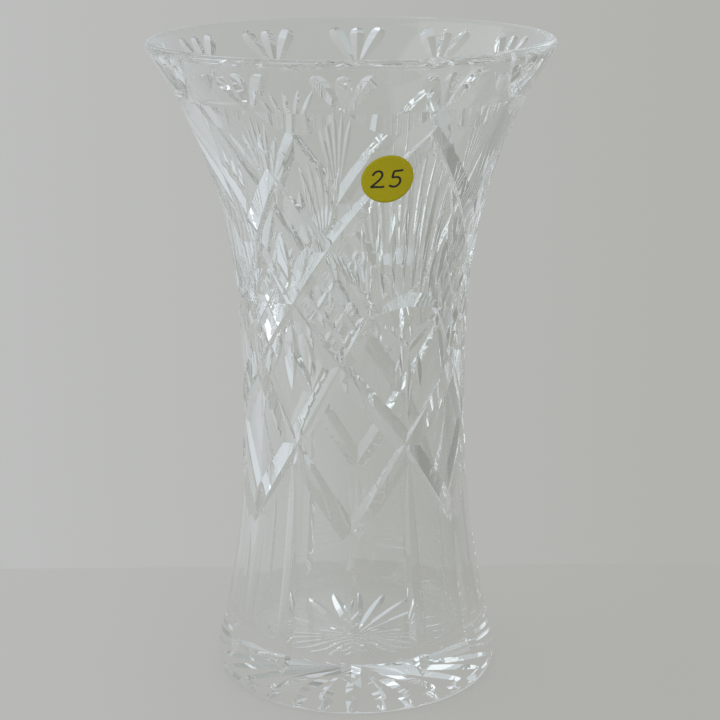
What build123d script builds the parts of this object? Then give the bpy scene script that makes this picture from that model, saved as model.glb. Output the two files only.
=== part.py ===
from build123d import *
import math
import os

# A cut crystal vase: one piece of clear glass, blown and turned smooth, then cut all round with
# V-edged wheels, and a round paper price sticker on its wall. Millimetres, +Z up, origin at the
# middle of the base. Angles are in degrees about the axis: 0 faces -Y and they grow towards +X.

os.makedirs("parts", exist_ok=True)

# Blank, outside
height = 250.0
rim_radius = 76.2  # outside of the wall where the lip begins
waist_radius = 43.2
waist_height = 110.0
foot_radius = 55.7  # above the rounded edge of the foot
foot_height = 7.5
base_radius = 52.9  # of the flat that it stands on
rim_curve = 2.75  # power of the flare above the waist
foot_curve = 2.05  # power of the flare below the waist

# Blank, inside
rim_wall = 4.9
foot_wall = 8.0
floor_thickness = 14.0
floor_corner = 9.0

# Turned bands that make up the curve of the wall, inside and out
foot_bands = 3  # below the waist
rim_bands = 7  # above the waist

# Pattern, all round
repeats = 3  # of an eye panel and a panel with a pair of hobnail diamonds
flutes_per_half_panel = 2
fans_per_half_panel = 2
star_points_per_half_panel = 4

# Pattern, heights of the lattice
ledge_drop = 19.5  # from the rim down to the ledge under the band of fans
crescent_height = 8.0
eye_panel_drop = 10.5  # from the ledge down to the top of an eye panel
hobnail_panel_drop = 27.5  # from the ledge down to the top of a hobnail panel
middle_height = 156.0  # between the two hobnail diamonds of a pair
tip_height = 153.0  # where an eye meets a hobnail diamond
crossing_height = 102.0  # of the lattice lines under each panel
lattice_foot_height = 69.5
flute_foot_height = 13.0

# Pattern, angles from the middle of an eye panel
eye_half_angle = 20.0

# Cuts: the width and depth that each kind has where it is deepest
lattice_width = 8.0
lattice_depth = 2.6
flute_width = 8.5
flute_depth = 1.9
flute_gap = 7.5  # from a crossing of the lattice down to the tip of the flute under it
hobnail_width = 3.0
hobnail_depth = 1.2
hobnail_squares = 3  # along one side of a hobnail diamond
leaf_width = 6.0
leaf_depth = 1.9
ray_width = 2.8
ray_depth = 1.0
eye_width = 13.0
eye_depth = 3.2
eyelid_width = 2.4
eyelid_depth = 0.9
fan_width = 4.2
fan_depth = 1.5
crescent_depth = 1.9
star_width = 7.5
star_depth = 2.6
star_radius = 45.0

# Rays and fans, in degrees round the vase
rays_per_half_eye = 4
ray_pitch = 4.7  # between the rays, where they leave the eye
upper_ray_spread = 1.33  # how many times further apart the rays over the eye end
lower_ray_spread = 1.45
eye_fall = 8.0  # millimetres that the rays' starts follow the eye towards its tips
middle_ray_gap = 14.0  # millimetres that the middle ray over the eye stops short of the others
rim_fan_spread = 8.0  # from the middle blade to an outer one
panel_fan_spread = 13.0  # from the middle of the hobnail panel's fan to its last ray
diamond_fan_spread = 7.5
fan_root = 0.2  # share of its spread that a fan has at its root
ray_gap = 3.0  # millimetres from a ray to the lattice

# Sticker
sticker_diameter = 19.0
sticker_thickness = 0.2
sticker_glue = 0.12
sticker_angle = -15.0
sticker_drop = 44.0  # from the rim down to the sticker's middle

# Derived
rim_lean = math.atan(rim_curve * (rim_radius - waist_radius) / (height - waist_height))
lip_radius = rim_wall / 2
lip_height = height - lip_radius * (1 + math.sin(rim_lean))
half_panel = 180 / repeats
ledge_height = height - ledge_drop
eye_panel_top = ledge_height - eye_panel_drop
hobnail_panel_top = ledge_height - hobnail_panel_drop
fan_top = ledge_height - crescent_height
blade_top = lip_height - 1.5  # of the rim fans
sticker_height = height - sticker_drop
flute_step = half_panel / flutes_per_half_panel
fan_step = half_panel / fans_per_half_panel
star_step = half_panel / star_points_per_half_panel


def wall_radius(z):
    """Outside radius of the uncut wall at a height."""
    if z < waist_height:
        share = (waist_height - z) / (waist_height - foot_height)
        return waist_radius + (foot_radius - waist_radius) * share**foot_curve
    share = (z - waist_height) / (lip_height - waist_height)
    return waist_radius + (rim_radius - waist_radius) * share**rim_curve


def wall_slope(z):
    """How fast the radius grows with the height."""
    return wall_radius(z + 0.5) - wall_radius(z - 0.5)


def wall_thickness(z):
    """The wall is thicker towards the foot."""
    return foot_wall + (rim_wall - foot_wall) * z / height


def spread(first, last, spans):
    """Evenly spread values from the first to the last."""
    return [first + (last - first) * i / spans for i in range(spans + 1)]


def rounding(centre, radii, first, last, spans):
    """Points (distance from the axis, height) round an edge, from one direction to another in radians."""
    turns = spread(first, last, spans)
    return [(centre[0] + radii[0] * math.cos(turn), centre[1] + radii[1] * math.sin(turn)) for turn in turns]


def wall_plane(angle, z):
    """Plane on the uncut wall: its x goes round the vase, its y up the wall, its z out of the glass."""
    turn = math.radians(angle)
    out = Vector(math.sin(turn), -math.cos(turn), 0)
    around = Vector(math.cos(turn), math.sin(turn), 0)
    origin = out * wall_radius(z) + Vector(0, 0, z)
    return Plane(origin, x_dir=around, z_dir=out - Vector(0, 0, wall_slope(z)))


def groove(sections, width, depth, overshoot=2.0):
    """Closed solid that a V-edged wheel sweeps. A section is a plane whose x goes across the cut and
    whose z goes out of the glass, with the share of the full width and depth there. A share of 0 is a
    point on the glass."""
    rings = []
    for plane, share in sections:
        rise = overshoot if share else 0
        half = width / 2 * (share + rise / depth)
        corners = (0, -depth * share), (half, rise), (-half, rise)
        rings.append([tuple(plane.from_local_coords(Vector(x, 0, z))) for x, z in corners])
    triangles = [rings[0], rings[-1]]
    for ring, following in zip(rings, rings[1:]):
        for i in range(3):
            j = (i + 1) % 3
            triangles.append([ring[i], ring[j], following[j]])
            triangles.append([ring[i], following[j], following[i]])
    triangles = [corners for corners in triangles if len(set(corners)) == 3]
    return Solid(Shell([Face(Wire.make_polygon(corners)) for corners in triangles]))


def wall_cut(path, width, depth, overshoot=2.0):
    """Groove along a path of (angle, height, share of the full width and depth) on the wall."""
    planes = [wall_plane(angle, z) for angle, z, share in path]
    sections = []
    for i, plane in enumerate(planes):
        along = planes[min(i + 1, len(planes) - 1)].origin - planes[max(i - 1, 0)].origin
        across = along.cross(plane.z_dir)
        section = Plane(plane.origin, x_dir=across, z_dir=across.cross(along))
        sections.append((section, path[i][2]))
    return groove(sections, width, depth, overshoot)


def between(start, end, share):
    """Point at a share of the way from one (angle, height) to another."""
    return tuple(a + (b - a) * share for a, b in zip(start, end))


def lattice_cut(start, end, before=0.0, after=0.0):
    """Even mitre from one lattice point to another, run on past its ends by a share of its length."""
    spans = max(2, round(abs(end[0] - start[0]) / 15))
    shares = [-before + (1 + before + after) * i / spans for i in range(spans + 1)]
    path = [(*between(start, end, share), 1) for share in shares]
    return wall_cut(path, lattice_width, lattice_depth)


def leaf_cut(start, end, width, depth, widest=0.5):
    """Pointed leaf from one (angle, height) to another, deepest about a share of its length."""
    swell = [(0, 0), (widest - 0.15, 1), (widest + 0.15, 1), (1, 0)]
    path = [(*between(start, end, share), depth_share) for share, depth_share in swell]
    return wall_cut(path, width, depth, overshoot=1.0)


def crossing(first_start, first_end, second_start, second_end):
    """Where two lattice lines cross, as (angle, height)."""
    rise_1 = (first_end[1] - first_start[1]) / (first_end[0] - first_start[0])
    rise_2 = (second_end[1] - second_start[1]) / (second_end[0] - second_start[0])
    gap = second_start[1] - first_start[1] + rise_1 * first_start[0] - rise_2 * second_start[0]
    angle = gap / (rise_1 - rise_2)
    return angle, first_start[1] + rise_1 * (angle - first_start[0])


# Points of the lattice in half a panel pair, from the middle of an eye to the middle of a hobnail pair
eye_top = (0, eye_panel_top)
hobnail_top = (half_panel, hobnail_panel_top)
middle = (half_panel, middle_height)
tip = (eye_half_angle, tip_height)
eye_crossing = (0, crossing_height)
hobnail_crossing = (half_panel, crossing_height)
lattice_foot = (half_panel / 2, lattice_foot_height)
diamond_top = crossing(eye_top, middle, hobnail_top, tip)
diamond_bottom = crossing(middle, eye_crossing, tip, hobnail_crossing)

outer_heights = spread(foot_height, waist_height, foot_bands)
outer_heights += spread(waist_height, lip_height, rim_bands)[1:]

cuts = []

# Lattice
cuts.append(lattice_cut(eye_top, middle, before=0.1, after=0.1))
cuts.append(lattice_cut(hobnail_top, tip, before=0.1))
cuts.append(lattice_cut(tip, hobnail_crossing, after=0.1))
cuts.append(lattice_cut(middle, eye_crossing, before=0.1, after=0.1))
cuts.append(lattice_cut(eye_crossing, lattice_foot, before=0.2))
cuts.append(lattice_cut(hobnail_crossing, lattice_foot, before=0.2))

# Flutes, from the lattice down to the foot band
for i in range(flutes_per_half_panel + 1):
    angle = i * flute_step
    under_crossing = abs(2 * angle - half_panel) > flute_step
    flute_top = (crossing_height if under_crossing else lattice_foot_height) - flute_gap
    drop = flute_top - flute_foot_height
    swell = [(0, 0), (0.3, 0.7), (0.8, 1), (0.93, 0.8), (1, 0)]
    path = [(angle, flute_top - drop * share, depth_share) for share, depth_share in swell]
    cuts.append(wall_cut(path, flute_width, flute_depth))

# Squares of the hobnail diamond
for i in range(1, hobnail_squares):
    share = i / hobnail_squares
    upper_left = between(tip, diamond_top, share)
    lower_right = between(diamond_bottom, middle, share)
    cuts.append(wall_cut([(*upper_left, 1), (*lower_right, 1)], hobnail_width, hobnail_depth))
    lower_left = between(tip, diamond_bottom, share)
    upper_right = between(diamond_top, middle, share)
    cuts.append(wall_cut([(*lower_left, 1), (*upper_right, 1)], hobnail_width, hobnail_depth))

# Leaves above and below the middle of the hobnail pair
leaf_top = between(middle, hobnail_top, 0.6)
leaf_bottom = between(middle, hobnail_crossing, 0.6)
cuts.append(leaf_cut(between(middle, hobnail_top, 0.06), leaf_top, leaf_width, leaf_depth))
cuts.append(leaf_cut(between(middle, hobnail_crossing, 0.06), leaf_bottom, leaf_width, leaf_depth))
side_start = between(middle, diamond_top, 0.22)
cuts.append(leaf_cut(side_start, between(leaf_top, diamond_top, 0.6), leaf_width, leaf_depth))
side_start = between(middle, diamond_bottom, 0.22)
cuts.append(leaf_cut(side_start, between(leaf_bottom, diamond_bottom, 0.5), leaf_width, leaf_depth))

# Fans of rays that rise from the hobnail panel's top and from the hobnail diamond's top
for lean in spread(0, panel_fan_spread, 2):
    start = (half_panel - fan_root * lean, hobnail_panel_top + ray_gap)
    cuts.append(leaf_cut(start, (half_panel - lean, fan_top - 1), ray_width, ray_depth, widest=0.6))
for lean in spread(-diamond_fan_spread, diamond_fan_spread, 4):
    start = (diamond_top[0] + fan_root * lean, diamond_top[1] + lattice_width - 1)
    end = (diamond_top[0] + lean, fan_top - lattice_width - abs(lean) / 2)
    cuts.append(leaf_cut(start, end, ray_width, ray_depth, widest=0.6))

# Eye: a wide leaf across the panel, the lid under it, and rays up and down to the lattice
eye_middle = (0, tip_height + 2)
swell = [(1, 0), (0.6, 0.7), (0.2, 1), (-0.2, 1)]
path = [(*between(eye_middle, tip, share), depth_share) for share, depth_share in swell]
cuts.append(wall_cut(path, eye_width, eye_depth))
lid_start = (eye_half_angle * 0.85, tip_height - 1.5)
lid_end = (0, tip_height - eye_width)
path = [(*lid_start, 0), (*between(lid_start, lid_end, 0.4), 1), (*between(lid_start, lid_end, 1.1), 1)]
cuts.append(wall_cut(path, eyelid_width, eyelid_depth))
for i in range(rays_per_half_eye + 1):
    angle = i * ray_pitch
    fall = eye_fall * (angle / eye_half_angle) ** 2
    middle_gap = middle_ray_gap if i == 0 else 0
    end_angle = upper_ray_spread * angle
    end_height = between(eye_top, middle, end_angle / half_panel)[1] - ray_gap - middle_gap
    start = (angle, eye_middle[1] + eye_width / 2 - fall)
    cuts.append(leaf_cut(start, (end_angle, end_height), ray_width, ray_depth, widest=0.35))
    end_angle = lower_ray_spread * angle
    end_height = between(eye_crossing, tip, end_angle / eye_half_angle)[1] + ray_gap + middle_gap / 3
    start = (angle, tip_height - eye_width - 2 + fall)
    cuts.append(leaf_cut(start, (end_angle, end_height), ray_width, ray_depth, widest=0.5))

# Fans of three blades in the rim band, with their feet on the ledge
for i in range(fans_per_half_panel + 1):
    for lean in spread(-rim_fan_spread, rim_fan_spread, 2):
        foot = (i * fan_step + lean / 8, ledge_height + 0.5)
        blade = (i * fan_step + lean, blade_top)
        if -rim_fan_spread < blade[0] < half_panel + rim_fan_spread:
            path = [(*foot, 0), (*between(foot, blade, 0.8), 1), (*blade, 0)]
            cuts.append(wall_cut(path, fan_width, fan_depth, overshoot=1.0))

# Flats under the ledge, whose lower edges are the crescents
for i in range(fans_per_half_panel):
    angle = (i + 0.5) * fan_step
    turn = math.radians(angle)
    out = Vector(math.sin(turn), -math.cos(turn), 0)
    around = Vector(math.cos(turn), math.sin(turn), 0)
    top = out * (wall_radius(ledge_height) - crescent_depth) + Vector(0, 0, ledge_height)
    bottom = out * wall_radius(ledge_height - crescent_height) + Vector(0, 0, ledge_height - crescent_height)
    down = bottom - top
    reach = 2 * crescent_depth + 4
    side = math.tan(math.radians(fan_step / 2)) * wall_radius(ledge_height) - 0.8
    foot = (1.5 * down.dot(out), 1.5 * down.Z)
    with BuildPart() as flat:
        with BuildSketch(Plane(top, x_dir=out, z_dir=-around).offset(-side)):
            with BuildLine():
                Polyline((0, 0), (reach, 0), (reach, foot[1]), foot, (0, 0))
            make_face()
        extrude(amount=2 * side)
    cuts.append(flat.part.solid())

# Star under the base
for i in range(star_points_per_half_panel + 1):
    turn = math.radians(i * star_step)
    out = Vector(math.sin(turn), -math.cos(turn), 0)
    around = Vector(math.cos(turn), math.sin(turn), 0)
    sections = []
    for share, depth_share in [(0, 0.35), (0.6, 1), (1, 0)]:
        plane = Plane(out * (star_radius * share), x_dir=around, z_dir=(0, 0, -1))
        sections.append((plane, depth_share))
    cuts.append(groove(sections, star_width, star_depth, overshoot=1.0))

# Half a panel pair of the vase, as a slice of the blank with its cuts
with BuildPart() as slice_of_vase:
    with BuildSketch(Plane((0, 0, 0), x_dir=(0, -1, 0), z_dir=(-1, 0, 0))):
        with BuildLine():
            foot_edge_radii = (foot_radius - base_radius, foot_height)
            foot_edge = rounding((base_radius, foot_height), foot_edge_radii, -math.pi / 2, 0, 3)
            outside = [(wall_radius(z), z) for z in outer_heights]
            lip_centre = (
                rim_radius - lip_radius * math.cos(rim_lean),
                lip_height + lip_radius * math.sin(rim_lean),
            )
            lip = rounding(lip_centre, (lip_radius, lip_radius), -rim_lean, math.pi - rim_lean, 4)
            inner_heights = spread(lip[-1][1], waist_height, rim_bands)[1:]
            inner_heights += spread(waist_height, floor_thickness + floor_corner, foot_bands)[1:]
            inside = [(wall_radius(z) - wall_thickness(z), z) for z in inner_heights]
            corner_centre = (inside[-1][0] - floor_corner, inside[-1][1])
            corner = rounding(corner_centre, (floor_corner, floor_corner), 0, -math.pi / 2, 3)
            Polyline((0, 0), *foot_edge, *outside[1:])
            Polyline(*lip, *inside, *corner[1:], (0, floor_thickness), (0, 0))
        make_face()
    revolve(axis=Axis.Z, revolution_arc=half_panel)
    add(cuts, mode=Mode.SUBTRACT)

with BuildPart() as panel_pair:
    # Crumbs of glass left standing between two cuts break off on the wheel
    add(slice_of_vase.part.solids().sort_by(SortBy.VOLUME)[-1])
    mirror(about=Plane.YZ)

with BuildPart() as vase_body:
    with PolarLocations(0, repeats):
        add(panel_pair.part)

vase_body.part.label = "vase_body"
export_step(vase_body.part, "parts/vase_body.step")

# Round paper sticker, bent to the wall and held by its glue
with BuildPart() as price_sticker:
    with BuildSketch(Plane.XZ):
        with BuildLine():
            front_gap = sticker_glue + sticker_thickness
            heights = [z for z in outer_heights if abs(z - sticker_height) < 2.5 * sticker_diameter]
            back = [(wall_radius(z) + sticker_glue, z) for z in heights]
            front = [(wall_radius(z) + front_gap, z) for z in reversed(heights)]
            Polyline(*back, *front, back[0])
        make_face()
    revolve(axis=Axis.Z)
    sticker_plane = wall_plane(sticker_angle, sticker_height)
    with BuildSketch(sticker_plane):
        Circle(sticker_diameter / 2)
    extrude(amount=sticker_diameter / 3, both=True, mode=Mode.INTERSECT)

price_sticker.part.label = "price_sticker"
export_step(price_sticker.part, "parts/price_sticker.step")
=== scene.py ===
import bpy
import bmesh
import math
from mathutils import Matrix, Vector


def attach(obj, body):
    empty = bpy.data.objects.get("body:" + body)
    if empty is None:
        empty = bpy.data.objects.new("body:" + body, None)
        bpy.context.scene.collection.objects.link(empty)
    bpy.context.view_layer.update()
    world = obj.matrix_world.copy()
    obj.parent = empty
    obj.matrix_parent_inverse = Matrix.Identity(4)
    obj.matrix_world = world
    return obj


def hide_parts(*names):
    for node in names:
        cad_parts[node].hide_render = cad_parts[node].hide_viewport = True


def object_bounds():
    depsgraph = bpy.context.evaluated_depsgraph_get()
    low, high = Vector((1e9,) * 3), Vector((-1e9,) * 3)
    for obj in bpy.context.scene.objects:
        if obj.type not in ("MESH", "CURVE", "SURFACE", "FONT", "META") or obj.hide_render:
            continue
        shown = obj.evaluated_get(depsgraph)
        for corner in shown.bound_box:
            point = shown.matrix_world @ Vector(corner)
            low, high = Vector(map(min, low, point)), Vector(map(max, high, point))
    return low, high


# A cut crystal vase on a pale table. The glass is turned smooth and then cut with V-edged wheels, as the
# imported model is, with finer steps and with the finest cuts added. The vase's sizes are in millimetres until
# its meshes are made, and the stage's are in metres. Angles are in degrees: round the axis, 0 faces -Y and
# they grow towards +X.

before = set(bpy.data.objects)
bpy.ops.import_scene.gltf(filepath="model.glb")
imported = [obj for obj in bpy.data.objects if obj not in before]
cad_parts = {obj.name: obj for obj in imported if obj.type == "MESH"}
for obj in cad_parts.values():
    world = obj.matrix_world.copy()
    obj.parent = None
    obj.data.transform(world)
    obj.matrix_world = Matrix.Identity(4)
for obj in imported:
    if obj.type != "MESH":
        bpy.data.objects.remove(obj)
cad_low, cad_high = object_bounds()

# Metres for one millimetre of the smooth vase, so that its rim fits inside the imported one's box
DESIGNED_WIDTH = 153.2  # across the smooth rim
mm = (cad_high[0] - cad_low[0]) / DESIGNED_WIDTH

# Blank
HEIGHT = 250.0
RIM_RADIUS = 76.2
WAIST_RADIUS = 43.2
WAIST_HEIGHT = 110.0
FOOT_RADIUS = 55.7
FOOT_HEIGHT = 7.5
BASE_RADIUS = 52.9
RIM_CURVE = 2.75
FOOT_CURVE = 2.05
RIM_WALL = 4.9
FOOT_WALL = 8.0
FLOOR_THICKNESS = 14.0
FLOOR_CORNER = 9.0

# Pattern. The lattice's points are (angle, height)
REPEATS = 3
HALF_PANEL = 180 / REPEATS
LEDGE_HEIGHT = 230.5
CRESCENT_HEIGHT = 8.0
EYE_TOP = (0, 220)
HOBNAIL_TOP = (HALF_PANEL, 203)
MIDDLE = (HALF_PANEL, 156)
TIP = (20, 153)
EYE_CROSSING = (0, 102)
HOBNAIL_CROSSING = (HALF_PANEL, 102)
LATTICE_FOOT = (HALF_PANEL / 2, 69.5)

# Width and depth of the cuts
LATTICE_CUT = (8.0, 2.6)
FLUTE_CUT = (8.5, 1.9)
HOBNAIL_CUT = (3.0, 1.2)
HATCH_CUT = (0.9, 0.35)
LEAF_CUT = (6.0, 1.9)
RAY_CUT = (2.8, 0.75)
EYE_CUT = (13.0, 3.2)
EYELID_CUT = (2.4, 0.9)
TICK_CUT = (1.0, 0.6)
BLADE_CUT = (8.4, 1.7)
STAR_CUT = (4.8, 1.3)
CRESCENT_DEPTH = 1.9
HOBNAIL_SQUARES = 3  # along one side of a hobnail diamond
HATCH_LINES = 4
UPPER_RAY_SPREAD = 1.33  # how many times further apart the rays over the eye end
LOWER_RAY_SPREAD = 1.45
EYE_RAYS = 5  # on half an eye, with the middle one
RAY_PITCH = 4.7
TICKS = 14
TICK_SPREAD = 15
BLADE_LEAN = 8
STAR_RADIUS = 45.0

# Fineness of the turned surfaces
COLUMNS = 40  # in half a panel pair
OUTER_ROWS = 96
INNER_ROWS = 40
ROUND_STEPS = 10
LIP_STEPS = 16
WELD = 0.004  # points nearer than this are one

# Derived
rim_lean = math.atan(RIM_CURVE * (RIM_RADIUS - WAIST_RADIUS) / (HEIGHT - WAIST_HEIGHT))
lip_radius = RIM_WALL / 2
lip_height = HEIGHT - lip_radius * (1 + math.sin(rim_lean))

# Materials of the glass's faces
POLISHED = 0
CUT = 1


def wall_radius(z):
    """Outside radius of the uncut wall at a height."""
    if z < WAIST_HEIGHT:
        share = (WAIST_HEIGHT - z) / (WAIST_HEIGHT - FOOT_HEIGHT)
        return WAIST_RADIUS + (FOOT_RADIUS - WAIST_RADIUS) * share**FOOT_CURVE
    share = (z - WAIST_HEIGHT) / (lip_height - WAIST_HEIGHT)
    return WAIST_RADIUS + (RIM_RADIUS - WAIST_RADIUS) * share**RIM_CURVE


def wall_thickness(z):
    """The wall is thicker towards the foot."""
    return FOOT_WALL + (RIM_WALL - FOOT_WALL) * z / HEIGHT


def inner_radius(z):
    """Inside radius of the wall at a height."""
    return wall_radius(z) - wall_thickness(z)


def outwards(angle):
    """Level direction out of the glass at an angle."""
    turn = math.radians(angle)
    return Vector((math.sin(turn), -math.cos(turn), 0))


def wall_point(angle, z, gap=0.0):
    """Point on the uncut wall, or that far outside it."""
    return outwards(angle) * (wall_radius(z) + gap) + Vector((0, 0, z))


def wall_normal(angle, z):
    """Direction out of the glass, square to the uncut wall."""
    slope = wall_radius(z + 0.5) - wall_radius(z - 0.5)
    return (outwards(angle) - Vector((0, 0, slope))).normalized()


def spread(first, last, spans):
    """Evenly spread values from the first to the last."""
    return [first + (last - first) * i / spans for i in range(spans + 1)]


def rounding(centre, radii, first, last, spans):
    """Points (distance from the axis, height) round an edge, from one direction to another in radians."""
    turns = spread(first, last, spans)
    return [(centre[0] + radii[0] * math.cos(turn), centre[1] + radii[1] * math.sin(turn)) for turn in turns]


def between(start, end, share):
    """Point at a share of the way from one (angle, height) to another."""
    return tuple(a + (b - a) * share for a, b in zip(start, end))


def make_object(name, vertices, faces, material_index=0):
    """Mesh object from points in millimetres."""
    mesh = bpy.data.meshes.new(name)
    mesh.from_pydata([Vector(v) * mm for v in vertices], [], faces)
    mesh.update()
    for face in mesh.polygons:
        face.material_index = material_index
    obj = bpy.data.objects.new(name, mesh)
    bpy.context.scene.collection.objects.link(obj)
    return obj


# ---------------------------------------------------------------- the turned blank


def profile():
    """Half section of the blank from the middle of the base, out, up, over the lip and back down inside."""
    foot_radii = (FOOT_RADIUS - BASE_RADIUS, FOOT_HEIGHT)
    base = [(BASE_RADIUS * share, 0) for share in (0, 0.35, 0.7)]
    foot_edge = rounding((BASE_RADIUS, FOOT_HEIGHT), foot_radii, -math.pi / 2, 0, ROUND_STEPS)
    outside = [(wall_radius(z), z) for z in spread(FOOT_HEIGHT, lip_height, OUTER_ROWS)]
    lip_centre = (RIM_RADIUS - lip_radius * math.cos(rim_lean), lip_height + lip_radius * math.sin(rim_lean))
    lip = rounding(lip_centre, (lip_radius, lip_radius), -rim_lean, math.pi - rim_lean, LIP_STEPS)
    inner_heights = spread(lip[-1][1], FLOOR_THICKNESS + FLOOR_CORNER, INNER_ROWS)
    inside = [(inner_radius(z), z) for z in inner_heights[1:]]
    corner_centre = (inside[-1][0] - FLOOR_CORNER, inside[-1][1])
    corner = rounding(corner_centre, (FLOOR_CORNER, FLOOR_CORNER), 0, -math.pi / 2, ROUND_STEPS)
    floor = [(corner[-1][0] * share, FLOOR_THICKNESS) for share in (0.6, 0.3, 0)]
    return base + foot_edge + outside[1:-1] + lip + inside + corner[1:] + floor


def slice_of_blank():
    """Closed solid of the blank over half a panel pair."""
    points = profile()
    rows = len(points)
    vertices = []
    index = {}
    for column, angle in enumerate(spread(0, HALF_PANEL, COLUMNS)):
        for row, (radius, z) in enumerate(points):
            if radius == 0 and column > 0:
                index[column, row] = index[0, row]
                continue
            index[column, row] = len(vertices)
            vertices.append(outwards(angle) * radius + Vector((0, 0, z)))
    faces = []
    for column in range(COLUMNS):
        for row in range(rows - 1):
            near_side = [index[column, row], index[column + 1, row]]
            far_side = [index[column + 1, row + 1], index[column, row + 1]]
            faces.append(list(dict.fromkeys(near_side + far_side)))
    faces.append([index[0, row] for row in range(rows)])
    faces.append([index[COLUMNS, row] for row in reversed(range(rows))])
    return make_object("slice", vertices, faces, POLISHED)


# ---------------------------------------------------------------- the wheel's cuts


def groove(sections, overshoot):
    """Vertices and faces of the closed solid that a V-edged wheel sweeps. A section is a point on the glass,
    the direction across the cut, the direction out of the glass, and the cut's width and depth there."""
    vertices = []
    for origin, across, out, width, depth in sections:
        half = width / 2 * (1 + overshoot / depth)
        vertices.append(origin - out * depth)
        vertices.append(origin + across * half + out * overshoot)
        vertices.append(origin - across * half + out * overshoot)
    corners = 3
    faces = [[2, 1, 0]]
    for i in range(0, len(vertices) - corners, corners):
        for j in range(corners):
            k = (j + 1) % corners
            faces.append([i + j, i + k, i + corners + k])
            faces.append([i + j, i + corners + k, i + corners + j])
    last = len(vertices) - corners
    faces.append([last, last + 1, last + 2])
    return vertices, faces


def wall_cut(path, width, depth, overshoot=2.0):
    """Groove along a path of (angle, height, share of the full width and depth) on the wall."""
    points = [wall_point(angle, z) for angle, z, share in path]
    sections = []
    for i, point in enumerate(points):
        angle, z, share = path[i]
        share = max(share, 0.02)
        along = (points[min(i + 1, len(points) - 1)] - points[max(i - 1, 0)]).normalized()
        across = along.cross(wall_normal(angle, z)).normalized()
        sections.append((point, across, across.cross(along), width * share, depth * share))
    return groove(sections, overshoot)


def even_cut(start, end, width, depth, before=0.0, after=0.0, spans=12):
    """Mitre of one width, run on past its ends by a share of its length."""
    path = [(*between(start, end, share), 1) for share in spread(-before, 1 + after, spans)]
    return wall_cut(path, width, depth)


def leaf_cut(start, end, width, depth, widest=0.5, spans=12, overshoot=1.0):
    """Pointed leaf, deepest at a share of its length."""
    path = []
    for share in spread(0, 1, spans):
        quarter = share / widest if share < widest else (1 - share) / (1 - widest)
        path.append((*between(start, end, share), math.sin(quarter * math.pi / 2) ** 0.9))
    return wall_cut(path, width, depth, overshoot)


def crossing(first_start, first_end, second_start, second_end):
    """Where two lattice lines cross, as (angle, height)."""
    rise_1 = (first_end[1] - first_start[1]) / (first_end[0] - first_start[0])
    rise_2 = (second_end[1] - second_start[1]) / (second_end[0] - second_start[0])
    gap = second_start[1] - first_start[1] + rise_1 * first_start[0] - rise_2 * second_start[0]
    angle = gap / (rise_1 - rise_2)
    return angle, first_start[1] + rise_1 * (angle - first_start[0])


def lattice_cuts():
    """Mitres of the diamond lattice."""
    return [
        even_cut(EYE_TOP, MIDDLE, *LATTICE_CUT, before=0.1, after=0.1),
        even_cut(HOBNAIL_TOP, TIP, *LATTICE_CUT, before=0.1),
        even_cut(TIP, HOBNAIL_CROSSING, *LATTICE_CUT, after=0.1),
        even_cut(MIDDLE, EYE_CROSSING, *LATTICE_CUT, before=0.1, after=0.1),
        even_cut(EYE_CROSSING, LATTICE_FOOT, *LATTICE_CUT, before=0.2),
        even_cut(HOBNAIL_CROSSING, LATTICE_FOOT, *LATTICE_CUT, before=0.2),
    ]


def flute_cuts():
    """Long flutes from the lattice down to the foot band."""
    foot_band = 13
    under_lattice = 6
    cuts = []
    for angle in spread(0, HALF_PANEL, 2):
        top = (LATTICE_FOOT[1] if angle == LATTICE_FOOT[0] else EYE_CROSSING[1]) - under_lattice
        path = []
        for share in spread(0, 1, 24):
            swell = min(1, 0.35 + 0.75 * share) * min(1, share / 0.16) ** 0.6
            round_end = math.sqrt(max(0, 1 - max(0, (share - 0.86) / 0.14) ** 2))
            path.append((angle, top - (top - foot_band) * share, swell * round_end))
        cuts.append(wall_cut(path, *FLUTE_CUT))
    return cuts


def hobnail_cuts(diamond_top, diamond_bottom):
    """Grooves that divide the hobnail diamond into squares, and fine hatching on every other square."""
    squares = HOBNAIL_SQUARES
    cuts = []
    for i in range(1, squares):
        share = i / squares
        falling = (between(TIP, diamond_top, share), between(diamond_bottom, MIDDLE, share))
        rising = (between(TIP, diamond_bottom, share), between(diamond_top, MIDDLE, share))
        cuts.append(even_cut(*falling, *HOBNAIL_CUT, spans=6))
        cuts.append(even_cut(*rising, *HOBNAIL_CUT, spans=6))

    def point(up, down):
        """Point in the diamond, at shares of its upper left and lower left sides."""
        towards_top = [up * (diamond_top[i] - TIP[i]) for i in (0, 1)]
        towards_bottom = [down * (diamond_bottom[i] - TIP[i]) for i in (0, 1)]
        return tuple(TIP[i] + towards_top[i] + towards_bottom[i] for i in (0, 1))

    # The hatching stays inside its square, at these shares of the square's side
    low, high = 0.16 / squares, 0.84 / squares
    first_line, lines_reach = 0.24, 0.52
    for row in range(squares):
        for column in range(squares):
            if (row + column) % 2:
                continue
            u, v = row / squares, column / squares
            for i in range(HATCH_LINES):
                share = (first_line + lines_reach * i / (HATCH_LINES - 1)) / squares
                hatch = (point(u + share, v + low), point(u + share, v + high))
                cross_hatch = (point(u + low, v + share), point(u + high, v + share))
                cuts.append(even_cut(*hatch, *HATCH_CUT, spans=3))
                cuts.append(even_cut(*cross_hatch, *HATCH_CUT, spans=3))
    return cuts


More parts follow.
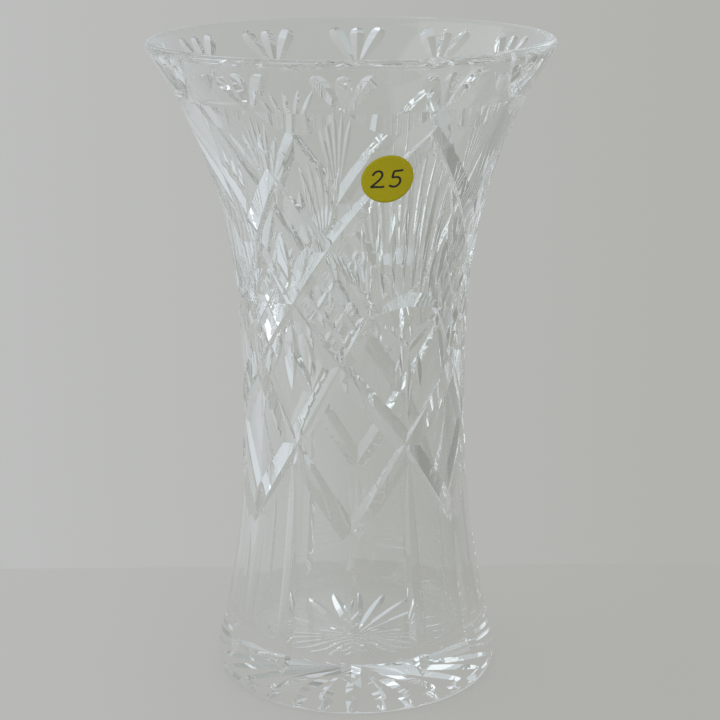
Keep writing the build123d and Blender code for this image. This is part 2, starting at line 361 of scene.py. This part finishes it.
def leaf_cuts(diamond_top, diamond_bottom):
    """Leaves above and below the middle of the pair of hobnail diamonds."""
    leaf_top = between(MIDDLE, HOBNAIL_TOP, 0.6)
    leaf_bottom = between(MIDDLE, HOBNAIL_CROSSING, 0.6)
    return [
        leaf_cut(between(MIDDLE, HOBNAIL_TOP, 0.06), leaf_top, *LEAF_CUT),
        leaf_cut(between(MIDDLE, HOBNAIL_CROSSING, 0.06), leaf_bottom, *LEAF_CUT),
        leaf_cut(between(MIDDLE, diamond_top, 0.22), between(leaf_top, diamond_top, 0.6), *LEAF_CUT),
        leaf_cut(between(MIDDLE, diamond_bottom, 0.22), between(leaf_bottom, diamond_bottom, 0.5), *LEAF_CUT),
    ]


def ray_fan_cuts(diamond_top):
    """Fans of rays over the hobnail panel and over the hobnail diamond."""
    fan_end = LEDGE_HEIGHT - CRESCENT_HEIGHT
    cuts = []
    for lean in (0, 6.5, 13):
        start = (HALF_PANEL - 0.25 * lean, HOBNAIL_TOP[1] + 3)
        cuts.append(leaf_cut(start, (HALF_PANEL - lean, fan_end - 1), *RAY_CUT, widest=0.6))
    for lean in (-7.5, -3.8, 0, 3.8, 7.5):
        start = (diamond_top[0] + 0.2 * lean, diamond_top[1] + 7)
        end = (diamond_top[0] + lean, fan_end - 8 - abs(lean) / 2)
        cuts.append(leaf_cut(start, end, *RAY_CUT, widest=0.6))
    return cuts


def eye_cuts():
    """The eye's wide leaf, its lid and ticks, and the rays above and below it."""
    half_angle = TIP[0]
    middle = (0, TIP[1] + 2)
    past_middle = -0.15
    cuts = []
    path = []
    for share in spread(1, past_middle, 14):
        path.append((*between(middle, TIP, share), math.cos(min(1, abs(share)) * math.pi / 2) ** 0.85))
    cuts.append(wall_cut(path, *EYE_CUT))
    lid_start = (half_angle * 0.85, TIP[1] - 1.5)
    lid_end = (0, TIP[1] - 13)
    path = [(*between(lid_start, lid_end, share), min(1, 0.4 + share)) for share in spread(0, 1.1, 6)]
    cuts.append(wall_cut(path, *EYELID_CUT))
    for i in range(EYE_RAYS):
        angle = i * RAY_PITCH
        across = angle / half_angle
        fall = 8 * across**2
        lattice_above = between(EYE_TOP, MIDDLE, UPPER_RAY_SPREAD * angle / HALF_PANEL)[1]
        lattice_below = between(EYE_CROSSING, TIP, LOWER_RAY_SPREAD * across)[1]
        start = (angle, middle[1] + 6.5 - fall)
        end = (UPPER_RAY_SPREAD * angle, lattice_above - 4 - 14 * (i == 0))
        cuts.append(leaf_cut(start, end, *RAY_CUT, widest=0.35))
        start = (angle, TIP[1] - 15 + fall)
        end = (LOWER_RAY_SPREAD * angle, lattice_below + 5 + 4 * (i == 0))
        cuts.append(leaf_cut(start, end, *RAY_CUT))
    for i in range(TICKS):
        angle = (i + 0.5) * TICK_SPREAD / TICKS
        top = TIP[1] + 1.5 - 2.5 * (angle / half_angle) ** 2
        length = 7.5 - 5 * (angle / half_angle)
        cuts.append(leaf_cut((angle, top), (angle, top - length), *TICK_CUT, spans=4))
    return cuts


def rim_fan_cuts():
    """Fans of three blades in the band under the rim."""
    cuts = []
    blade_end = lip_height - 1.5
    for middle in spread(0, HALF_PANEL, 2):
        for lean in (-BLADE_LEAN, 0, BLADE_LEAN):
            foot = (middle + 0.12 * lean, LEDGE_HEIGHT + 0.5)
            blade = (middle + lean, blade_end)
            if not -BLADE_LEAN < blade[0] < HALF_PANEL + BLADE_LEAN:
                continue
            path = []
            for share in spread(0, 1, 24):
                round_end = math.sqrt(max(0, 1 - max(0, (share - 0.55) / 0.45) ** 2.5))
                path.append((*between(foot, blade, share), share**0.7 * round_end))
            cuts.append(wall_cut(path, *BLADE_CUT, overshoot=1.0))
    return cuts


def crescent_cuts():
    """Flats ground under the ledge, whose lower edges are the crescents."""
    cuts = []
    step = HALF_PANEL / 2
    for i in range(2):
        angle = (i + 0.5) * step
        out = outwards(angle)
        around = outwards(angle + 90)
        top = out * (wall_radius(LEDGE_HEIGHT) - CRESCENT_DEPTH) + Vector((0, 0, LEDGE_HEIGHT))
        bottom = wall_point(angle, LEDGE_HEIGHT - CRESCENT_HEIGHT)
        foot = top + (bottom - top) * 1.5
        far = out * (2 * CRESCENT_DEPTH + 4)
        below = Vector((0, 0, -1.5 * CRESCENT_HEIGHT))
        outline = (top, top + far, top + far + below, foot)
        side = around * (math.tan(math.radians(step / 2)) * wall_radius(LEDGE_HEIGHT) - 0.8)
        vertices = [point - side for point in outline] + [point + side for point in outline]
        ends = [[0, 1, 2, 3], [7, 6, 5, 4]]
        sides = [[j, j + 4, (j + 1) % 4 + 4, (j + 1) % 4] for j in range(4)]
        cuts.append((vertices, ends + sides))
    return cuts


def star_cuts():
    """Rays of the star under the base."""
    width, depth = STAR_CUT
    down = Vector((0, 0, -1))
    widest = 0.55
    cuts = []
    for angle in spread(0, HALF_PANEL, 4):
        out = outwards(angle)
        across = -outwards(angle + 90)
        sections = []
        for share in spread(0, 1, 12):
            swell = 0.35 + 0.65 * math.sin(min(1, share / widest) * math.pi / 2)
            swell *= math.sqrt(max(0.0004, 1 - max(0, (share - widest) / (1 - widest)) ** 2))
            sections.append((out * (STAR_RADIUS * share + 0.01), across, down, width * swell, depth * swell))
        cuts.append(groove(sections, 1.0))
    return cuts


def all_cuts():
    """Every cut in half a panel pair."""
    diamond_top = crossing(EYE_TOP, MIDDLE, HOBNAIL_TOP, TIP)
    diamond_bottom = crossing(MIDDLE, EYE_CROSSING, TIP, HOBNAIL_CROSSING)
    cuts = lattice_cuts() + flute_cuts() + hobnail_cuts(diamond_top, diamond_bottom)
    cuts += leaf_cuts(diamond_top, diamond_bottom) + ray_fan_cuts(diamond_top) + eye_cuts()
    return cuts + rim_fan_cuts() + crescent_cuts() + star_cuts()


def outward_faces(obj):
    """Turns the faces of a closed mesh outwards."""
    work = bmesh.new()
    work.from_mesh(obj.data)
    bmesh.ops.recalc_face_normals(work, faces=work.faces)
    work.to_mesh(obj.data)
    work.free()


def cut_slice():
    """Mesh of the slice with every cut taken out of it."""
    blank = slice_of_blank()
    outward_faces(blank)
    cutters = []
    for vertices, faces in all_cuts():
        cutter = make_object("cutter", vertices, faces, CUT)
        outward_faces(cutter)
        cutters.append(cutter)
    for obj in [blank] + cutters:
        for finish in (POLISHED, CUT):
            obj.data.materials.append(None)
    for cutter in cutters:
        modifier = blank.modifiers.new("cut", "BOOLEAN")
        modifier.operation = "DIFFERENCE"
        modifier.solver = "MANIFOLD"
        modifier.object = cutter
    depsgraph = bpy.context.evaluated_depsgraph_get()
    mesh = bpy.data.meshes.new_from_object(blank.evaluated_get(depsgraph))
    for obj in [blank] + cutters:
        bpy.data.objects.remove(obj)
    return mesh


def whole_from_slice(mesh):
    """The slice mirrored into a panel pair, and the pair repeated round the axis, welded into one skin."""
    work = bmesh.new()
    work.from_mesh(mesh)
    bmesh.ops.triangulate(work, faces=work.faces)
    near = WELD * mm
    ends = [outwards(90), outwards(HALF_PANEL + 90)]
    seam = [
        face
        for face in work.faces
        if any(all(abs(v.co.dot(end)) < near for v in face.verts) for end in ends)
    ]
    bmesh.ops.delete(work, geom=seam, context="FACES")
    for vertex in work.verts:
        for end in ends:
            offset = vertex.co.dot(end)
            if abs(offset) < near:
                vertex.co -= end * offset
    half = bpy.data.meshes.new("half")
    work.to_mesh(half)
    work.free()
    whole = bmesh.new()
    for repeat in range(REPEATS):
        turn = Matrix.Rotation(2 * math.radians(HALF_PANEL) * repeat, 4, "Z")
        for flip in (Matrix.Identity(4), Matrix.Scale(-1, 4, Vector((1, 0, 0)))):
            part = half.copy()
            part.transform(turn @ flip)
            if flip != Matrix.Identity(4):
                part.flip_normals()
            whole.from_mesh(part)
            bpy.data.meshes.remove(part)
    bmesh.ops.remove_doubles(whole, verts=whole.verts, dist=near)
    bmesh.ops.dissolve_degenerate(whole, edges=whole.edges, dist=near / 2)
    # Flat slivers, left where an edge was welded to two shorter ones
    slivers = [face for edge in whole.edges if len(edge.link_faces) == 1 for face in edge.link_faces]
    bmesh.ops.delete(whole, geom=list(dict.fromkeys(slivers)), context="FACES")
    return whole


def polish(mesh):
    """Gives the polished walls their exact directions, so that what shows through them isn't rippled."""
    near = 0.1  # more than the fine faces stray from the true wall
    directions = [corner.vector.copy() for corner in mesh.corner_normals]
    for face in mesh.polygons:
        if face.material_index != POLISHED:
            continue
        for loop in face.loop_indices:
            point = mesh.vertices[mesh.loops[loop].vertex_index].co / mm
            if not FOOT_HEIGHT < point.z < lip_height:
                continue
            angle = math.degrees(math.atan2(point.x, -point.y))
            radius = math.hypot(point.x, point.y)
            if abs(radius - wall_radius(point.z)) < near:
                directions[loop] = wall_normal(angle, point.z)
            elif abs(radius - inner_radius(point.z)) < near and point.z > FLOOR_THICKNESS + FLOOR_CORNER:
                slope = inner_radius(point.z + 0.5) - inner_radius(point.z - 0.5)
                directions[loop] = (Vector((0, 0, slope)) - outwards(angle)).normalized()
    mesh.normals_split_custom_set(directions)


def vase_body():
    """The glass, as one smooth-shaded skin with crisp cut edges."""
    whole = whole_from_slice(cut_slice())
    for face in whole.faces:
        face.smooth = True
    crisp = {POLISHED: math.radians(30), CUT: math.radians(14)}
    for edge in whole.edges:
        if len(edge.link_faces) == 2:
            finish, other_finish = (face.material_index for face in edge.link_faces)
            edge.smooth = finish == other_finish and edge.calc_face_angle(0) < crisp[finish]
    mesh = bpy.data.meshes.new("vase_crystal")
    whole.to_mesh(mesh)
    whole.free()
    polish(mesh)
    obj = bpy.data.objects.new("vase_crystal", mesh)
    bpy.context.scene.collection.objects.link(obj)
    return obj


# ---------------------------------------------------------------- sticker

STICKER_ANGLE = -15.0
STICKER_HEIGHT = 206.0
STICKER_RADIUS = 9.5
STICKER_GAP = 0.06
STICKER_THICKNESS = 0.16
INK_GAP = STICKER_GAP + STICKER_THICKNESS + 0.01
PEN_RADIUS = 0.42
INK_FLATNESS = 0.05  # the ink's thickness, as a share of the round stroke's


def on_sticker(x, y, gap):
    """Point on the wall at a place on the flat sticker, x round the vase and y up it."""
    slope = wall_radius(STICKER_HEIGHT + 0.5) - wall_radius(STICKER_HEIGHT - 0.5)
    z = STICKER_HEIGHT + y / math.sqrt(1 + slope**2)
    angle = STICKER_ANGLE + math.degrees(x / wall_radius(z))
    return wall_point(angle, z) + wall_normal(angle, z) * gap


def sticker():
    """Thin round of paper, bent to the wall."""
    rings, turns = 12, 72
    face_gap = STICKER_GAP + STICKER_THICKNESS
    vertices = [on_sticker(0, 0, face_gap)]
    for ring in range(1, rings + 1):
        radius = STICKER_RADIUS * ring / rings
        for i in range(turns):
            turn = 2 * math.pi * i / turns
            vertices.append(on_sticker(radius * math.cos(turn), radius * math.sin(turn), face_gap))
    faces = [[0, 1 + i, 1 + (i + 1) % turns] for i in range(turns)]
    for ring in range(rings - 1):
        for i in range(turns):
            a, b = 1 + ring * turns + i, 1 + ring * turns + (i + 1) % turns
            faces.append([a, a + turns, b + turns, b])
    obj = make_object("sticker_paper", vertices, faces)
    solid = obj.modifiers.new("thickness", "SOLIDIFY")
    solid.thickness = STICKER_THICKNESS * mm
    solid.offset = -1
    for face in obj.data.polygons:
        face.use_smooth = True
    return obj


def pen_number():
    """The plain number 25, written on the sticker with a round-tipped marker. Points are millimetres on the
    flat sticker, x to the right and y up."""
    two_bowl = [(-5.6, 1.6), (-4.9, 3.1), (-3.1, 3.5), (-2.0, 2.2), (-2.5, 0.4), (-4.3, -1.5), (-6.0, -3.1)]
    two_foot = [(-6.0, -3.1), (-4.2, -2.9), (-2.6, -3.2), (-1.1, -2.9)]
    five_stem = [(2.0, 3.2), (1.5, 0.5)]
    five_bowl = [(1.5, 0.5), (3.1, 0.9), (4.5, 0.1), (4.6, -1.7), (3.2, -3.2), (1.4, -3.1), (0.6, -2.5)]
    five_flag = [(2.0, 3.2), (3.6, 3.1), (5.3, 3.4)]
    curve = bpy.data.curves.new("sticker_number", "CURVE")
    curve.dimensions = "3D"
    curve.bevel_depth = PEN_RADIUS * mm
    curve.bevel_resolution = 3
    curve.use_fill_caps = True
    for points in (two_bowl, two_foot, five_stem, five_bowl, five_flag):
        spline = curve.splines.new("NURBS")
        spline.points.add(len(points) - 1)
        for place, (x, y) in zip(spline.points, points):
            place.co = (*(on_sticker(x, y, INK_GAP) * mm), 1)
        spline.order_u = 3
        spline.use_endpoint_u = True
    drawn = bpy.data.objects.new("drawn", curve)
    bpy.context.scene.collection.objects.link(drawn)
    bpy.context.view_layer.update()
    mesh = bpy.data.meshes.new_from_object(drawn.evaluated_get(bpy.context.evaluated_depsgraph_get()))
    bpy.data.objects.remove(drawn)
    for vertex in mesh.vertices:
        vertex.co = flattened(vertex.co / mm) * mm
    for face in mesh.polygons:
        face.use_smooth = True
    obj = bpy.data.objects.new("sticker_number", mesh)
    bpy.context.scene.collection.objects.link(obj)
    return obj


def flattened(point):
    """A pen stroke's point, pressed down until the ink is only a film on the paper."""
    angle = math.degrees(math.atan2(point.x, -point.y))
    surface = wall_point(angle, point.z)
    normal = wall_normal(angle, point.z)
    height = (point - surface).dot(normal)
    return point + normal * ((height - INK_GAP) * INK_FLATNESS + INK_GAP - height)


# ---------------------------------------------------------------- materials


def new_material(name):
    """Material, its nodes and links, and its shader."""
    material = bpy.data.materials.new(name)
    material.use_nodes = True
    nodes = material.node_tree.nodes
    return material, nodes, material.node_tree.links, nodes["Principled BSDF"]


def calculated(nodes, links, operation, *values):
    """Result of a calculation with numbers and other nodes' results."""
    node = nodes.new("ShaderNodeMath")
    node.operation = operation
    for socket, value in zip(node.inputs, values):
        if isinstance(value, (int, float)):
            socket.default_value = value
        else:
            links.new(value, socket)
    return node.outputs[0]


def noise(nodes, links, scale, detail):
    """Fine variation, fixed to the object."""
    place = nodes.new("ShaderNodeTexCoord")
    texture = nodes.new("ShaderNodeTexNoise")
    texture.inputs["Scale"].default_value = scale
    texture.inputs["Detail"].default_value = detail
    links.new(place.outputs["Object"], texture.inputs["Vector"])
    return texture.outputs["Fac"]


def two_tones(nodes, links, share, low, high):
    """Colour between two tones."""
    colours = nodes.new("ShaderNodeValToRGB")
    colours.color_ramp.elements[0].color = low
    colours.color_ramp.elements[1].color = high
    links.new(share, colours.inputs["Fac"])
    return colours.outputs["Color"]


def crystal(name, roughness, grain):
    """Clear crystal with the faint unevenness of hand polishing. Lamps shine through it."""
    material, nodes, links, shader = new_material(name)
    shader.inputs["Base Color"].default_value = (0.962, 0.971, 0.960, 1)
    shader.inputs["Transmission Weight"].default_value = 1
    shader.inputs["IOR"].default_value = 1.53
    spread_out = nodes.new("ShaderNodeMapRange")
    spread_out.inputs["To Min"].default_value = roughness
    spread_out.inputs["To Max"].default_value = roughness + grain
    links.new(noise(nodes, links, scale=90, detail=3), spread_out.inputs["Value"])
    links.new(spread_out.outputs["Result"], shader.inputs["Roughness"])
    path = nodes.new("ShaderNodeLightPath")
    clear = nodes.new("ShaderNodeBsdfTransparent")
    clear.inputs["Color"].default_value = (0.93, 0.94, 0.93, 1)
    mix = nodes.new("ShaderNodeMixShader")
    links.new(path.outputs["Is Shadow Ray"], mix.inputs[0])
    links.new(shader.outputs[0], mix.inputs[1])
    links.new(clear.outputs[0], mix.inputs[2])
    links.new(mix.outputs[0], nodes["Material Output"].inputs["Surface"])
    return material


def sticker_paper():
    """Matt olive-yellow paper with fine fibres."""
    material, nodes, links, shader = new_material("sticker_paper")
    fibres = noise(nodes, links, scale=2500, detail=4)
    colour = two_tones(nodes, links, fibres, (0.33, 0.275, 0.005, 1), (0.42, 0.355, 0.009, 1))
    bump = nodes.new("ShaderNodeBump")
    bump.inputs["Strength"].default_value = 0.15
    bump.inputs["Distance"].default_value = 0.00005
    links.new(colour, shader.inputs["Base Color"])
    links.new(fibres, bump.inputs["Height"])
    links.new(bump.outputs["Normal"], shader.inputs["Normal"])
    shader.inputs["Roughness"].default_value = 0.7
    shader.inputs["Specular IOR Level"].default_value = 0.15
    return material


def marker_ink():
    """Black marker ink, a little uneven where the pen lifted."""
    material, nodes, links, shader = new_material("marker_ink")
    unevenness = noise(nodes, links, scale=900, detail=2)
    colour = two_tones(nodes, links, unevenness, (0.004, 0.004, 0.005, 1), (0.016, 0.016, 0.020, 1))
    links.new(colour, shader.inputs["Base Color"])
    shader.inputs["Roughness"].default_value = 0.45
    return material


# ---------------------------------------------------------------- the object

body = vase_body()
body.data.materials.clear()  # the cuts' empty slots
body.data.materials.append(crystal("crystal_polished", 0.0, 0.015))
body.data.materials.append(crystal("crystal_cut", 0.0, 0.03))
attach(body, "root")
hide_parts("vase_body")

paper = sticker()
paper.data.materials.append(sticker_paper())
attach(paper, "root")
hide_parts("price_sticker")

number = pen_number()
number.data.materials.append(marker_ink())
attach(number, "root")

# ---------------------------------------------------------------- stage, light and camera

VIEW_ANGLE = -28.0  # the camera's place round the axis
VIEW_DISTANCE = 0.726
VIEW_HEIGHT = 0.328
VIEW_PITCH = 15.64
VIEW_ROLL = -0.45
TABLE_BEHIND = 0.098  # from the axis to the table's back edge
STAGE_SIZE = 6.0

# Tones of the stage, linear, with painted light: the table and the ground beyond it are painted lighter and
# cooler towards the window on the left, and darker and warmer to the right. The glass sees the sides beyond
# the picture
# The two side tones colour the room's light in the world. Where the ground shows in the glass, they are
# painted window light on the left and painted shade on the right
SHADED_SIDE = (0.29, 0.295, 0.275, 1)
WINDOW_LIGHT_SIDE = (0.68, 0.72, 0.76, 1)
TABLE_LIT_LEFT = (0.462, 0.462, 0.450, 1)
TABLE_SHADED_RIGHT = (0.420, 0.418, 0.395, 1)
WALL_LIT_LEFT = (0.505, 0.512, 0.505, 1)
WALL_SHADED_RIGHT = (0.445, 0.448, 0.425, 1)

towards_camera = outwards(VIEW_ANGLE)
left = outwards(VIEW_ANGLE - 90)


def seen_plainly(nodes, links, lit, colour, colour_in_glass, share):
    """Shader that shows plain colours to the camera, as a share of what it sees, and in the glass. All else,
    such as the light that the surface sends back, is the lit shader's."""
    path = nodes.new("ShaderNodeLightPath").outputs
    in_glass = calculated(nodes, links, "MAXIMUM", path["Is Transmission Ray"], path["Is Glossy Ray"])
    tone = nodes.new("ShaderNodeMix")
    tone.data_type = "RGBA"
    links.new(in_glass, tone.inputs["Factor"])
    links.new(colour, tone.inputs["A"])
    links.new(colour_in_glass, tone.inputs["B"])
    plain = nodes.new("ShaderNodeEmission")
    links.new(tone.outputs["Result"], plain.inputs["Color"])
    seen = calculated(nodes, links, "MULTIPLY", path["Is Camera Ray"], share)
    mix = nodes.new("ShaderNodeMixShader")
    links.new(calculated(nodes, links, "MAXIMUM", seen, in_glass), mix.inputs[0])
    links.new(lit, mix.inputs[1])
    links.new(plain.outputs[0], mix.inputs[2])
    return mix.outputs[0]


def dot_with(nodes, links, vector, direction):
    """How far a vector reaches in a direction."""
    dot = nodes.new("ShaderNodeVectorMath")
    dot.operation = "DOT_PRODUCT"
    dot.inputs[1].default_value = direction
    links.new(vector, dot.inputs[0])
    return dot.outputs["Value"]


def across_stage(nodes, links, tones):
    """Colour that changes from one side of the picture to the other, which paints the fall-off of the window's
    light across the stage. Tones are (sideways reach for each metre away from the photographer's place,
    colour), from the right to the left."""
    place = nodes.new("ShaderNodeTexCoord").outputs["Object"]
    behind_axis = dot_with(nodes, links, place, -towards_camera)
    away = calculated(nodes, links, "ADD", behind_axis, VIEW_DISTANCE)
    least_away = 0.3
    ahead = calculated(nodes, links, "MAXIMUM", away, least_away)
    sideways = calculated(nodes, links, "DIVIDE", dot_with(nodes, links, place, left), ahead)
    rightmost, leftmost = tones[0][0], tones[-1][0]
    reach = nodes.new("ShaderNodeMapRange")
    reach.inputs["From Min"].default_value = rightmost
    reach.inputs["From Max"].default_value = leftmost
    links.new(sideways, reach.inputs["Value"])
    ramp = nodes.new("ShaderNodeValToRGB")
    stops = ramp.color_ramp.elements
    for side, colour in tones[1:-1]:
        stops.new((side - rightmost) / (leftmost - rightmost))
    for stop, (side, colour) in zip(stops, tones):
        stop.color = colour
    links.new(reach.outputs["Result"], ramp.inputs["Fac"])
    return ramp.outputs["Color"]


def ground_material(name, shaded_right_colour, lit_left_colour, share):
    """Matt ground, seen plainly as a share of what the camera sees, with painted light: lighter towards the
    window on the left and darker to the right, and in the glass painted window light and shade on the far
    sides.
    """
    picture_edge, glass_edge, far_edge = 0.18, 0.13, 0.55
    material, nodes, links, shader = new_material(name)
    in_picture = [(-picture_edge, shaded_right_colour), (picture_edge, lit_left_colour)]
    in_glass = [(-glass_edge, shaded_right_colour), (glass_edge, lit_left_colour)]
    colour = across_stage(nodes, links, in_picture)
    # Painted shade on the far right and painted window light on the far left, seen only in the glass
    wide_tones = [(-far_edge, SHADED_SIDE), *in_glass, (far_edge, WINDOW_LIGHT_SIDE)]
    colour_in_glass = across_stage(nodes, links, wide_tones)
    links.new(colour, shader.inputs["Base Color"])
    shader.inputs["Roughness"].default_value = 0.8
    surface = seen_plainly(nodes, links, shader.outputs[0], colour, colour_in_glass, share)
    links.new(surface, nodes["Material Output"].inputs["Surface"])
    return material


def floor():
    """Pale table, and the paler ground beyond its back edge."""
    back = -towards_camera
    corners = []
    for depth in (-STAGE_SIZE, 0, STAGE_SIZE):
        for side in (left, -left):
            corners.append(back * (TABLE_BEHIND + depth) + side * STAGE_SIZE)
    mesh = bpy.data.meshes.new("floor")
    mesh.from_pydata(corners, [], [[0, 1, 3, 2], [2, 3, 5, 4]])
    mesh.update()
    obj = bpy.data.objects.new("floor", mesh)
    bpy.context.scene.collection.objects.link(obj)
    mesh.materials.append(ground_material("table", TABLE_SHADED_RIGHT, TABLE_LIT_LEFT, share=0.85))
    mesh.materials.append(ground_material("wall", WALL_SHADED_RIGHT, WALL_LIT_LEFT, share=1.0))
    mesh.polygons[1].material_index = 1


def area_light(name, place, size, power, colour):
    """Soft light, turned towards the middle of the vase."""
    light = bpy.data.lights.new(name, "AREA")
    light.shape = "RECTANGLE"
    light.size, light.size_y = size
    light.energy = power
    light.color = colour
    obj = bpy.data.objects.new(name, light)
    obj.location = place
    middle_of_vase = Vector((0, 0, 0.12))
    obj.rotation_euler = (middle_of_vase - place).to_track_quat("-Z", "Y").to_euler()
    bpy.context.scene.collection.objects.link(obj)
    return obj


def room():
    """The room round the stage: pale and a little blue towards the window, and darker behind the camera."""
    world = bpy.data.worlds.new("studio")
    bpy.context.scene.world = world
    world.use_nodes = True
    nodes = world.node_tree.nodes
    links = world.node_tree.links
    background = nodes["Background"]
    direction = nodes.new("ShaderNodeTexCoord").outputs["Generated"]
    pale_side = (left - 0.5 * towards_camera).normalized()
    reach = nodes.new("ShaderNodeMapRange")
    reach.inputs["From Min"].default_value = -0.8
    reach.inputs["From Max"].default_value = 0.9
    links.new(dot_with(nodes, links, direction, pale_side), reach.inputs["Value"])
    tone = nodes.new("ShaderNodeMix")
    tone.data_type = "RGBA"
    tone.inputs["A"].default_value = SHADED_SIDE
    tone.inputs["B"].default_value = WINDOW_LIGHT_SIDE
    links.new(reach.outputs["Result"], tone.inputs["Factor"])
    links.new(tone.outputs["Result"], background.inputs["Color"])
    # What is matt gets more light than the glass sees, so that colours render as they are written
    matt_lift = 1.7
    matt = nodes.new("ShaderNodeLightPath").outputs["Is Diffuse Ray"]
    strength = calculated(nodes, links, "MULTIPLY_ADD", matt, matt_lift, 1.0)
    links.new(strength, background.inputs["Strength"])


def photo_camera():
    """Camera at the photograph's angle."""
    optics = bpy.data.cameras.new("camera")
    optics.lens = 96.9
    optics.sensor_width = 36
    optics.shift_x = 0.009
    camera = bpy.data.objects.new("camera", optics)
    bpy.context.scene.collection.objects.link(camera)
    pitch = math.radians(VIEW_PITCH)
    look = (-towards_camera) * math.cos(pitch) - Vector((0, 0, math.sin(pitch)))
    aim = look.to_track_quat("-Z", "Y").to_matrix().to_4x4()
    roll = Matrix.Rotation(math.radians(VIEW_ROLL), 4, "Z")
    camera.location = towards_camera * VIEW_DISTANCE + Vector((0, 0, VIEW_HEIGHT))
    camera.rotation_euler = (aim @ roll).to_euler()
    bpy.context.scene.camera = camera


floor()
window_place = left * 1.9 + towards_camera * 0.3 + Vector((0, 0, 1.1))
area_light("window", window_place, size=(3.0, 2.6), power=12, colour=(0.90, 0.96, 1.0))
fill_place = -left * 1.8 + towards_camera + Vector((0, 0, 1.4))
fill = area_light("fill", fill_place, size=(1.2, 1.2), power=5, colour=(1.0, 0.99, 0.97))
fill.visible_glossy = False
fill.visible_transmission = False
room()
photo_camera()

scene = bpy.context.scene
scene.view_settings.view_transform = "Standard"
scene.cycles.max_bounces = 64
scene.cycles.transmission_bounces = 64
scene.cycles.glossy_bounces = 40
scene.cycles.transparent_max_bounces = 24

bpy.context.view_layer.update()
